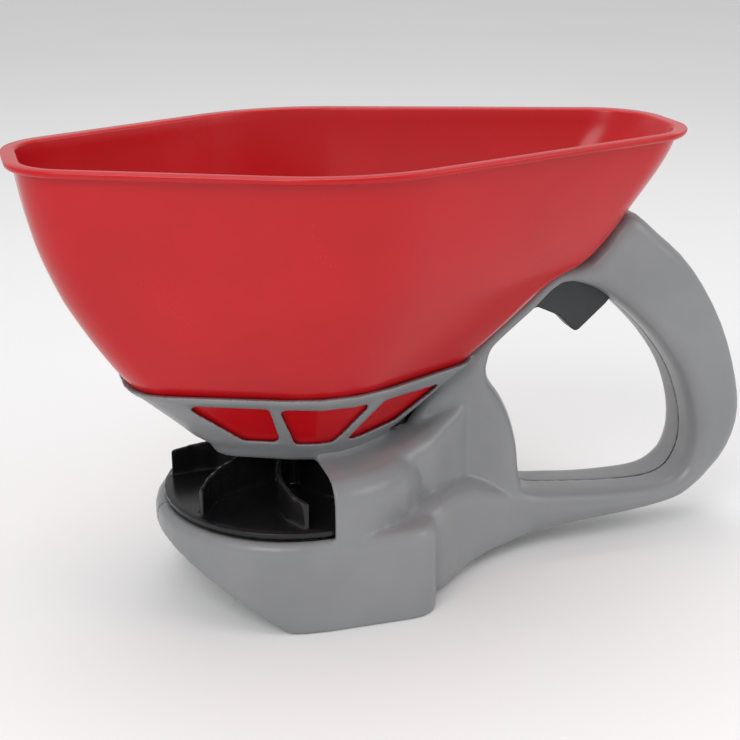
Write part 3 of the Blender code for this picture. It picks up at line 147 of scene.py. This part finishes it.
def plasticLook(name, values):
    look = Look(name)
    cloudy = look.noise(values["flowScale"], 4.0, 0.55)
    smudge = look.noise(handling["smudgeScale"], 6.0, 0.6).rise(0.45, 0.72)
    grain = look.noise(values["grainScale"], 2.0, 0.5)
    peel = look.noise(values["peelScale"], 2.0, 0.4)
    scratchPlace = look.stretched(*handling["scratchStretch"])
    scratch = look.noise(1.0, 5.0, 0.7, scratchPlace).rise(*handling["scratchShare"])
    chips = look.noise(handling["chipScale"], 4.0, 0.6).rise(0.42, 0.62)
    worn = look.edges().rise(*handling["edge"]) * chips
    tint = look.mix(cloudy.rise(0.3, 0.7), values["dark"], values["light"])
    tint = look.mix(worn * values["wear"], tint, values["worn"])
    dust = look.noise(handling["dustScale"], 8.0, 0.68).rise(0.52, 0.78) * values["dust"]
    tint = look.mix(dust, tint, handling["dustColour"])
    rough = values["roughness"] + (smudge - 0.5) * values["smudge"] + grain * 0.03
    rough = rough + scratch * handling["scratchRough"] + dust * handling["dustRough"]
    look.set(Base_Color=tint, Roughness=rough)
    look.set(IOR=handling["ior"], Specular_IOR_Level=values["gloss"])
    first = look.bump(peel, values["peelDepth"])
    second = look.bump(grain, values["grainDepth"], 1.0, first)
    look.set(Normal=look.bump(scratch, -handling["scratchDepth"], 1.0, second))
    return look.material


def metalLook(name, values):
    look = Look(name)
    blotch = look.noise(values["blotchScale"], 5.0, 0.6)
    speck = look.noise(values["speckScale"], 2.0, 0.5)
    scored = look.noise(1.0, 3.0, 0.6, look.stretched(*values["brushed"]))
    tint = look.mix(blotch.rise(0.35, 0.7), values["dark"], values["light"])
    tint = look.mix(speck.rise(0.6, 0.75) * values["pores"], tint, values["pore"])
    look.set(Base_Color=tint, Metallic=1.0)
    look.set(Roughness=values["roughness"] + (blotch - 0.5) * 0.16 + scored * 0.08)
    first = look.bump(scored, 0.00001)
    look.set(Normal=look.bump(speck.rise(0.6, 0.75), -0.00004 * values["pores"], 1.0, first))
    return look.material


hopperRed = plasticLook("hopperRed", {
    "dark": (0.49, 0.005, 0.009), "light": (0.55, 0.006, 0.011), "worn": (0.62, 0.04, 0.05),
    "flowScale": 14.0, "grainScale": 1700.0, "grainDepth": 0.000003, "peelScale": 160.0,
    "peelDepth": 0.00001, "roughness": 0.24, "smudge": 0.05, "wear": 0.15, "dust": 0.0, "gloss": 0.38,
})
bodyGrey = plasticLook("bodyGrey", {
    "dark": (0.225, 0.232, 0.240), "light": (0.262, 0.268, 0.276), "worn": (0.40, 0.41, 0.42),
    "flowScale": 17.0, "grainScale": 1500.0, "grainDepth": 0.000003, "peelScale": 180.0,
    "peelDepth": 0.000008, "roughness": 0.30, "smudge": 0.05, "wear": 0.05, "dust": 0.0, "gloss": 0.5,
})
discBlack = plasticLook("discBlack", {
    "dark": (0.006, 0.006, 0.007), "light": (0.010, 0.010, 0.011), "worn": (0.04, 0.04, 0.04),
    "flowScale": 30.0, "grainScale": 1600.0, "grainDepth": 0.000010, "peelScale": 300.0,
    "peelDepth": 0.00002, "roughness": 0.26, "smudge": 0.08, "wear": 0.3, "dust": 0.008, "gloss": 0.42,
})
triggerCharcoal = plasticLook("triggerCharcoal", {
    "dark": (0.020, 0.022, 0.025), "light": (0.031, 0.034, 0.038), "worn": (0.09, 0.09, 0.10),
    "flowScale": 30.0, "grainScale": 1400.0, "grainDepth": 0.00002, "peelScale": 320.0,
    "peelDepth": 0.00003, "roughness": 0.42, "smudge": 0.10, "wear": 0.5, "dust": 0.03, "gloss": 0.5,
})
acetalWhite = plasticLook("acetalWhite", {
    "dark": (0.72, 0.70, 0.64), "light": (0.82, 0.81, 0.77), "worn": (0.90, 0.89, 0.86),
    "flowScale": 40.0, "grainScale": 1500.0, "grainDepth": 0.000006, "peelScale": 300.0,
    "peelDepth": 0.00002, "roughness": 0.36, "smudge": 0.08, "wear": 0.3, "dust": 0.06, "gloss": 0.5,
})
zincSteel = metalLook("zincSteel", {
    "dark": (0.46, 0.46, 0.45), "light": (0.62, 0.62, 0.61), "pore": (0.25, 0.24, 0.22),
    "blotchScale": 260.0, "speckScale": 2600.0, "brushed": (300.0, 2400.0, 300.0),
    "roughness": 0.26, "pores": 0.25,
})
sinteredBronze = metalLook("sinteredBronze", {
    "dark": (0.36, 0.22, 0.10), "light": (0.56, 0.38, 0.19), "pore": (0.12, 0.07, 0.03),
    "blotchScale": 420.0, "speckScale": 2800.0, "brushed": (900.0, 900.0, 900.0),
    "roughness": 0.42, "pores": 1.0,
})
print("materials made")


# ---- mesh helpers ----
def addPiece(name, mesh, material, body, nodes=()):
    mesh.materials.clear()
    mesh.materials.append(material)
    piece = bpy.data.objects.new(name, mesh)
    bpy.context.scene.collection.objects.link(piece)
    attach(piece, body)
    if nodes:
        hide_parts(*nodes)
    return piece


def meshFrom(maker, name):
    bmesh.ops.recalc_face_normals(maker, faces=maker.faces)
    mesh = bpy.data.meshes.new(name)
    maker.to_mesh(mesh)
    maker.free()
    mesh.shade_smooth()
    return mesh


def modified(mesh, steps):
    # The mesh after a list of (modifier type, settings).
    holder = bpy.data.objects.new("holder", mesh)
    bpy.context.scene.collection.objects.link(holder)
    for kind, settings in steps:
        step = holder.modifiers.new(kind.lower(), kind)
        for key, value in settings.items():
            setattr(step, key, value)
    graph = bpy.context.evaluated_depsgraph_get()
    result = bpy.data.meshes.new_from_object(holder.evaluated_get(graph))
    bpy.data.objects.remove(holder)
    return result


def cadMesh(node):
    mesh = frame["nodes"][node].data.copy()
    maker = bmesh.new()
    maker.from_mesh(mesh)
    bmesh.ops.remove_doubles(maker, verts=maker.verts, dist=0.002 * mm)
    maker.to_mesh(mesh)
    maker.free()
    return mesh


def evenNormals(mesh, passes, sharp=0.86):
    # Spread each corner's normal over its neighbours, but not across edges sharper than a limit.
    count = len(mesh.vertices)
    normals = np.empty(count * 3, np.float32)
    mesh.vertex_normals.foreach_get("vector", normals)
    normals = normals.reshape(-1, 3).astype(float)
    ends = np.empty(len(mesh.edges) * 2, np.int32)
    mesh.edges.foreach_get("vertices", ends)
    a, b = ends.reshape(-1, 2).T
    for _ in range(passes):
        weight = np.clip((normals[a] * normals[b]).sum(1) - sharp, 0, 1) / (1 - sharp)
        total = normals.copy()
        for axis in range(3):
            total[:, axis] += np.bincount(a, weight * normals[b, axis], count)
            total[:, axis] += np.bincount(b, weight * normals[a, axis], count)
        normals = total / np.linalg.norm(total, axis=1, keepdims=True)
    mesh.normals_split_custom_set_from_vertices(normals.tolist())


def softened(node, voxel, passes, spread=12):
    # A finely divided copy of a CAD node with small rounds on its edges.
    steps = [
        ("REMESH", {"mode": "VOXEL", "voxel_size": voxel, "use_smooth_shade": True}),
        ("SMOOTH", {"factor": 0.5, "iterations": passes}),
    ]
    mesh = modified(cadMesh(node), steps)
    mesh.shade_smooth()
    evenNormals(mesh, spread)
    return mesh


def loft(rings):
    maker = bmesh.new()
    rows = [[maker.verts.new(point) for point in ring] for ring in rings]
    count = len(rows[0])
    for low, high in zip(rows, rows[1:]):
        for i in range(count):
            j = (i + 1) % count
            maker.faces.new((low[i], low[j], high[j], high[i]))
    maker.faces.new(rows[0][::-1])
    maker.faces.new(rows[-1])
    return maker


def rounded(corners, steps):
    # Arcs of equal steps on each (x, y, radius) corner of a closed outline.
    points = []
    for index, (x, y, radius) in enumerate(corners):
        here = Vector((x, y))
        toBefore = (Vector(corners[index - 1][:2]) - here).normalized()
        toAfter = (Vector(corners[(index + 1) % len(corners)][:2]) - here).normalized()
        half = toBefore.angle(toAfter) / 2
        centre = here + (toBefore + toAfter).normalized() * (radius / math.sin(half))
        first = here + toBefore * (radius / math.tan(half)) - centre
        turn = 1.0 if toBefore.x * toAfter.y - toBefore.y * toAfter.x < 0 else -1.0
        for step in range(steps + 1):
            angle = turn * (math.pi - 2 * half) * step / steps
            c, s = math.cos(angle), math.sin(angle)
            points.append((centre.x + c * first.x - s * first.y, centre.y + s * first.x + c * first.y))
    return points


def moved(outline, distance):
    # A counter-clockwise outline moved outwards.
    result = []
    for index, point in enumerate(outline):
        before = Vector(point) - Vector(outline[index - 1])
        after = Vector(outline[(index + 1) % len(outline)]) - Vector(point)
        mean = (Vector((before.y, -before.x)).normalized() + Vector((after.y, -after.x)).normalized())
        mean.normalize()
        result.append((point[0] + mean.x * distance, point[1] + mean.y * distance))
    return result


# ---- hopper ----
hopper = {
    "depth": 127.6, "wall": 2.2, "lip": 4.0, "lipDrop": 2.6, "widestX": 9.0, "cornerSteps": 14,
    # share of the depth, nose x, nose half width, half width at the widest, tail x, tail half width
    "rows": (
        (0.000, -35.0, 12.0, 29.5, 39.0, 14.0), (0.044, -43.0, 14.0, 33.5, 46.0, 15.5),
        (0.122, -53.5, 17.0, 39.5, 58.0, 17.5), (0.240, -70.5, 20.0, 49.0, 76.0, 20.0),
        (0.357, -81.5, 22.0, 57.0, 94.5, 21.0), (0.514, -93.5, 23.5, 65.5, 119.0, 23.0),
        (0.561, -96.5, 24.0, 67.5, 133.5, 20.6), (0.749, -105.2, 25.5, 73.0, 152.5, 25.8),
        (0.940, -109.8, 27.0, 77.0, 169.2, 29.0), (1.000, -110.6, 27.0, 78.0, 172.4, 28.8),
    ),
    "port": (18.0, 27.5, 9.0), "shaftHole": 3.9, "holeSteps": 32,
    "levels": 54, "lipRound": 1.0, "lipSteps": 9, "mouthRound": 1.2, "footRound": 1.2,
}


def smoothRow(rows, share):
    # Values at a share of the depth on a curve that never swings past its points.
    table = np.array(rows)
    x, y = table[:, 0], table[:, 1:]
    step = np.diff(x)[:, None]
    slope = np.diff(y, axis=0) / step
    inner = slope[:-1] * slope[1:]
    middle = np.where(inner > 0, 2 * inner / (slope[:-1] + slope[1:] + 1e-12), 0)
    tangent = np.vstack([slope[:1], middle, slope[-1:]])
    i = int(np.clip(np.searchsorted(x, share) - 1, 0, len(x) - 2))
    h = x[i + 1] - x[i]
    t = (share - x[i]) / h
    return (
        (2 * t ** 3 - 3 * t ** 2 + 1) * y[i] + (t ** 3 - 2 * t ** 2 + t) * h * tangent[i]
        + (3 * t ** 2 - 2 * t ** 3) * y[i + 1] + (t ** 3 - t ** 2) * h * tangent[i + 1]
    )


def hopperOutline(share, grow):
    share = min(max(share, 0.0), 1.0)
    nose, noseHalf, wide, tail, tailHalf = smoothRow(hopper["rows"], share)
    middle = hopper["widestX"]
    sideRound = 1.05 * wide
    front = math.atan2(wide - noseHalf, middle - nose)
    rear = math.atan2(wide - tailHalf, tail - middle)
    side = wide + sideRound * (1 / math.cos((front + rear) / 2) - 1)
    tailRound = tailHalf * (0.55 + 0.45 * share)
    noseRound = noseHalf * 0.95
    corners = (
        (nose, -noseHalf, noseRound), (middle, -side, sideRound), (tail, -tailHalf, tailRound),
        (tail, tailHalf, tailRound), (middle, side, sideRound), (nose, noseHalf, noseRound),
    )
    return moved(rounded(corners, hopper["cornerSteps"]), grow)


def makeHopper():
    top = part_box("hopper")[1][2] / mm
    low = top - hopper["depth"]
    wall, lip, drop = hopper["wall"], hopper["lip"], hopper["lipDrop"]

    def ring(height, grow):
        return [Vector((x, y, height)) * mm for x, y in hopperOutline((height - low) / hopper["depth"], grow)]

    lipRound, lipSteps, mouthRound = hopper["lipRound"], hopper["lipSteps"], hopper["mouthRound"]
    # The levels crowd towards the floor, where the wall bends most.
    count = hopper["levels"]
    levels = [low + hopper["depth"] * (i / count) ** 1.15 for i in range(count + 1)]
    walls = [z for z in levels if z < top - drop - 0.5]
    rings = [ring(low, -hopper["footRound"]), ring(low + 0.3, -0.35)] + [ring(z, 0.0) for z in walls[1:]]
    rings += [ring(top - drop - 0.2, 0.1), ring(top - drop, 0.5), ring(top - drop, lip - 0.7)]
    for i in range(1, lipSteps):
        angle = math.radians(-90 + 180 * i / lipSteps)
        out = lip - lipRound + lipRound * math.cos(angle)
        rings.append(ring(top - drop / 2 + drop / 2 * math.sin(angle), out))
    for i in range(7):
        angle = math.radians(15 * i)
        out = mouthRound - wall - mouthRound * math.sin(angle)
        rings.append(ring(top - mouthRound + mouthRound * math.cos(angle), out))
    rings += [ring(z, -wall) for z in reversed(walls) if z > low + wall + 1.6]
    rings += [ring(low + wall + 0.5, -wall - 0.3), ring(low + wall, -wall - 1.4)]
    mesh = meshFrom(loft(rings), "hopperShell")
    front, back, half = hopper["port"]
    port = ((front, -half), (back, -half), (back, half), (front, half))
    radius, steps = hopper["shaftHole"], hopper["holeSteps"]
    turns = [math.tau * i / steps for i in range(steps)]
    shaftHole = [(radius * math.cos(a), radius * math.sin(a)) for a in turns]
    for outline in (port, shaftHole):
        maker = loft([[Vector((x, y, z)) * mm for x, y in outline] for z in (low - 5, low + wall + 1)])
        tool = bpy.data.objects.new("holeTool", meshFrom(maker, "holeTool"))
        bpy.context.scene.collection.objects.link(tool)
        mesh = modified(mesh, [("BOOLEAN", {"object": tool, "operation": "DIFFERENCE", "solver": "EXACT"})])
        bpy.data.objects.remove(tool)
    mesh.shade_smooth()
    mesh.set_sharp_from_angle(angle=math.radians(40))
    addPiece("hopperShell", mesh, hopperRed, "frame", ["hopper"])


makeHopper()
print("hopper made")


# ---- mouldings taken from the CAD ----
# Per node: voxel size, smoothing passes, material, slot.
moulding = {
    "body_left": (0.85 * mm, 4, bodyGrey, "body"), "body_right": (0.85 * mm, 4, bodyGrey, "body"),
    "gear_cover": (0.8 * mm, 4, bodyGrey, "body"), "base_plate": (0.9 * mm, 3, bodyGrey, "body"),
    "impeller": (0.62 * mm, 2, discBlack, "impeller"), "agitator": (0.4 * mm, 4, discBlack, "impeller"),
    "trigger": (0.4 * mm, 4, triggerCharcoal, "trigger"), "crank_arm": (0.45 * mm, 4, discBlack, "crank"),
    "crank_knob": (0.45 * mm, 4, discBlack, "crank"),
}
bodyOf = {node: body for body, nodes in frame["record"]["behaviour"]["bodies"].items() for node in nodes}
for node, (voxel, passes, material, slot) in moulding.items():
    addPiece(node + "_moulding", softened(node, voxel, passes), material, bodyOf[node], [node])
    print("softened", node)


# ---- screws ----
screw = {
    "thread": 1.5 * mm, "knobShank": 3.0 * mm, "pitch": 0.9 * mm, "headHigh": 1.9 * mm, "slot": 0.7 * mm,
    "slotDeep": 1.3 * mm, "steps": 28,
}


def screwMesh(length, headRadius, shank):
    # Along +Z, the head's top at 0 and the tip at -length; the thread's ridges are turned rings.
    high = screw["headHigh"]
    profile = [(0.0, 0.0)]
    for i in range(1, 7):
        angle = math.radians(15 * i)
        profile.append((headRadius * math.sin(angle), -high * 0.45 * (1 - math.cos(angle))))
    profile += [(headRadius, -high * 0.8), (headRadius * 0.96, -high), (shank * 0.9, -high)]
    z = -high - 0.3 * mm
    while z > -length + 1.0 * mm:
        valley = shank * 0.80
        profile += [(valley, z), (shank, z - screw["pitch"] * 0.4), (valley, z - screw["pitch"] * 0.8)]
        z -= screw["pitch"]
    profile += [(shank * 0.5, -length + 0.3 * mm), (0.0, -length)]
    steps = screw["steps"]
    maker = bmesh.new()
    rows = []
    for radius, height in profile:
        turns = [math.tau * i / steps for i in range(steps if radius else 1)]
        rows.append([maker.verts.new((radius * math.cos(a), radius * math.sin(a), height)) for a in turns])
    for upper, low in zip(rows, rows[1:]):
        for i in range(steps):
            j = (i + 1) % steps
            if len(upper) == 1:
                maker.faces.new((upper[0], low[j], low[i]))
            elif len(low) == 1:
                maker.faces.new((upper[i], upper[j], low[0]))
            else:
                maker.faces.new((upper[i], upper[j], low[j], low[i]))
    mesh = meshFrom(maker, "screw")
    half, reach, deep = screw["slot"] / 2, headRadius * 0.62, screw["slotDeep"]
    arm = [(reach, half), (half, half), (half, reach), (-half, reach), (-half, half), (-reach, half),
           (-reach, -half), (-half, -half), (-half, -reach), (half, -reach), (half, -half), (reach, -half)]
    cross = loft([[Vector((x * s, y * s, z)) for x, y in arm] for z, s in ((-deep, 0.45), (0.4 * mm, 1.05))])
    tool = bpy.data.objects.new("crossTool", meshFrom(cross, "crossTool"))
    bpy.context.scene.collection.objects.link(tool)
    mesh = modified(mesh, [("BOOLEAN", {"object": tool, "operation": "DIFFERENCE", "solver": "EXACT"})])
    bpy.data.objects.remove(tool)
    mesh.shade_smooth()
    mesh.set_sharp_from_angle(angle=math.radians(35))
    return mesh


def placeScrew(node, way):
    # The way from tip to head; the place and the sizes are the CAD screw's own.
    low, high = Vector(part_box(node)[0]), Vector(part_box(node)[1])
    way = Vector(way)
    axis = [i for i in range(3) if way[i]][0]
    middle = (low + high) / 2
    top = middle.copy()
    top[axis] = high[axis] if way[axis] > 0 else low[axis]
    across = (axis + 1) % 3
    length, radius = (high - low)[axis], (high - low)[across] / 2
    shank = screw["knobShank"] if node == "knob_bolt" else screw["thread"]
    mesh = screwMesh(length, radius, shank)
    turn = way.to_track_quat("Z", "Y").to_matrix().to_4x4()
    spin = Matrix.Rotation(0.7 * (sum(map(ord, node)) % 7), 4, "Z")
    mesh.transform(Matrix.Translation(top) @ turn @ spin)
    addPiece(node + "_pan", mesh, zincSteel, bodyOf[node], [node])


for node in list(frame["nodes"]):
    if node.startswith(("body_screw", "cover_screw")) or node in ("crank_screw", "knob_bolt"):
        placeScrew(node, (0, 1, 0))
    elif node.startswith("hopper_screw"):
        placeScrew(node, (0, 0, 1))
    elif node.startswith("plate_screw"):
        placeScrew(node, (0, 0, -1))
print("screws made")


# ---- return spring ----
spring = {"turns": 6.0, "coil": 2.3 * mm, "wire": 0.55 * mm, "perTurn": 32, "wireSteps": 10}


def makeSpring():
    low, high = Vector(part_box("return_spring")[0]), Vector(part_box("return_spring")[1])
    group = bpy.data.node_groups.new("coil", "GeometryNodeTree")
    names = {}
    for name in ("turns", "coil", "length", "wire"):
        socket = group.interface.new_socket(name, in_out="INPUT", socket_type="NodeSocketFloat")
        names[name] = socket.identifier
    group.interface.new_socket("Geometry", in_out="OUTPUT", socket_type="NodeSocketGeometry")
    given = group.nodes.new("NodeGroupInput")
    result = group.nodes.new("NodeGroupOutput")
    helix = group.nodes.new("GeometryNodeCurveSpiral")
    helix.inputs["Resolution"].default_value = spring["perTurn"]
    link = group.links.new
    link(given.outputs["turns"], helix.inputs["Rotations"])
    link(given.outputs["coil"], helix.inputs["Start Radius"])
    link(given.outputs["coil"], helix.inputs["End Radius"])
    link(given.outputs["length"], helix.inputs["Height"])
    section = group.nodes.new("GeometryNodeCurvePrimitiveCircle")
    section.inputs["Resolution"].default_value = spring["wireSteps"]
    link(given.outputs["wire"], section.inputs["Radius"])
    tube = group.nodes.new("GeometryNodeCurveToMesh")
    tube.inputs["Fill Caps"].default_value = True
    link(helix.outputs[0], tube.inputs["Curve"])
    link(section.outputs[0], tube.inputs["Profile Curve"])
    real = group.nodes.new("GeometryNodeRealizeInstances")
    link(tube.outputs[0], real.inputs[0])
    paint = group.nodes.new("GeometryNodeSetMaterial")
    paint.inputs["Material"].default_value = zincSteel
    link(real.outputs[0], paint.inputs[0])
    link(paint.outputs[0], result.inputs[0])
    holder = bpy.data.objects.new("coilHolder", bpy.data.meshes.new("coilHolder"))
    bpy.context.scene.collection.objects.link(holder)
    step = holder.modifiers.new("coil", "NODES")
    step.node_group = group
    wire = spring["wire"]
    length = (high - low).x - 2 * wire
    values = {"turns": spring["turns"], "coil": spring["coil"], "length": length, "wire": wire}
    for name, value in values.items():
        step[names[name]] = value
    graph = bpy.context.evaluated_depsgraph_get()
    mesh = bpy.data.meshes.new_from_object(holder.evaluated_get(graph))
    bpy.data.objects.remove(holder)
    middle = (low + high) / 2
    start = Vector((low.x + wire, middle.y, middle.z))
    mesh.transform(Matrix.Translation(start) @ Matrix.Rotation(math.radians(90), 4, "Y"))
    mesh.shade_smooth()
    addPiece("returnCoil", mesh, zincSteel, bodyOf["return_spring"], ["return_spring"])


makeSpring()
print("spring made")


# ---- CAD nodes that stay, with better materials ----
finishes = {
    "crank_gear": acetalWhite, "layshaft_pinion": acetalWhite, "layshaft_bevel": acetalWhite,
    "impeller_bevel": acetalWhite, "thrust_washer": acetalWhite, "pull_strip": triggerCharcoal,
    "shutter_gate": triggerCharcoal, "gate_link": zincSteel, "crank_axle": zincSteel, "layshaft": zincSteel,
    "impeller_shaft": zincSteel, "agitator_nut": zincSteel, "axle_bush_inner": sinteredBronze,
    "axle_bush_outer": sinteredBronze, "layshaft_bush_inner": sinteredBronze,
    "layshaft_bush_outer": sinteredBronze, "shaft_bush_lower": sinteredBronze,
    "shaft_bush_upper": sinteredBronze,
}
for node, material in finishes.items():
    frame["nodes"][node].material_slots[0].material = material


# ---- studio ----
studio = {
    "floor": (0.90, 0.90, 0.90), "floorSize": 40.0, "floorLevel": -0.0002, "sky": 0.62,
    # name, place, aimed at, size, power
    "lamps": (
        ("keyLamp", (-0.75, -0.95, 1.15), (0.02, 0.0, 0.10), 0.9, 8.0),
        ("fillLamp", (1.15, -0.75, 0.75), (0.05, 0.0, 0.10), 0.8, 3.2),
        ("topLamp", (0.05, 0.25, 1.35), (0.03, 0.0, 0.10), 1.1, 5.5),
    ),
    "lens": 70.54, "azimuth": 16.9935, "elevation": 19.6868, "stand": (-0.14058, -0.57895, 0.30897),
}


def makeStudio():
    half = studio["floorSize"] / 2
    maker = bmesh.new()
    corners = ((-half, -half), (half, -half), (half, half), (-half, half))
    maker.faces.new([maker.verts.new((x, y, studio["floorLevel"])) for x, y in corners])
    floorLook = Look("paleFloor")
    shade = floorLook.noise(3.0, 2.0).rise(0.2, 0.8)
    pale = studio["floor"]
    floorLook.set(Base_Color=floorLook.mix(shade, pale, tuple(v + 0.02 for v in pale)), Roughness=0.62)
    mesh = meshFrom(maker, "floor")
    mesh.materials.append(floorLook.material)
    floor = bpy.data.objects.new("floor", mesh)
    bpy.context.scene.collection.objects.link(floor)
    world = bpy.data.worlds.new("paleSky")
    world.use_nodes = True
    world.node_tree.nodes["Background"].inputs["Color"].default_value = (1, 1, 1, 1)
    world.node_tree.nodes["Background"].inputs["Strength"].default_value = studio["sky"]
    bpy.context.scene.world = world
    for name, place, aim, size, power in studio["lamps"]:
        lamp = bpy.data.lights.new(name, "AREA")
        lamp.shape = "DISK"
        lamp.size = size
        lamp.energy = power
        holder = bpy.data.objects.new(name, lamp)
        holder.location = place
        holder.rotation_euler = (Vector(aim) - Vector(place)).to_track_quat("-Z", "Y").to_euler()
        bpy.context.scene.collection.objects.link(holder)
    lens = bpy.data.cameras.new("camera")
    tilt, turn = math.radians(90 - studio["elevation"]), math.radians(studio["azimuth"])
    lens.sensor_width = 36.0
    lens.lens = studio["lens"]
    lens.clip_start = 0.01
    camera = bpy.data.objects.new("camera", lens)
    camera.location = studio["stand"]
    camera.rotation_euler = (tilt, 0, -turn)
    bpy.context.scene.collection.objects.link(camera)
    bpy.context.scene.camera = camera
    bpy.context.scene.view_settings.view_transform = "Standard"


makeStudio()
print("studio made")
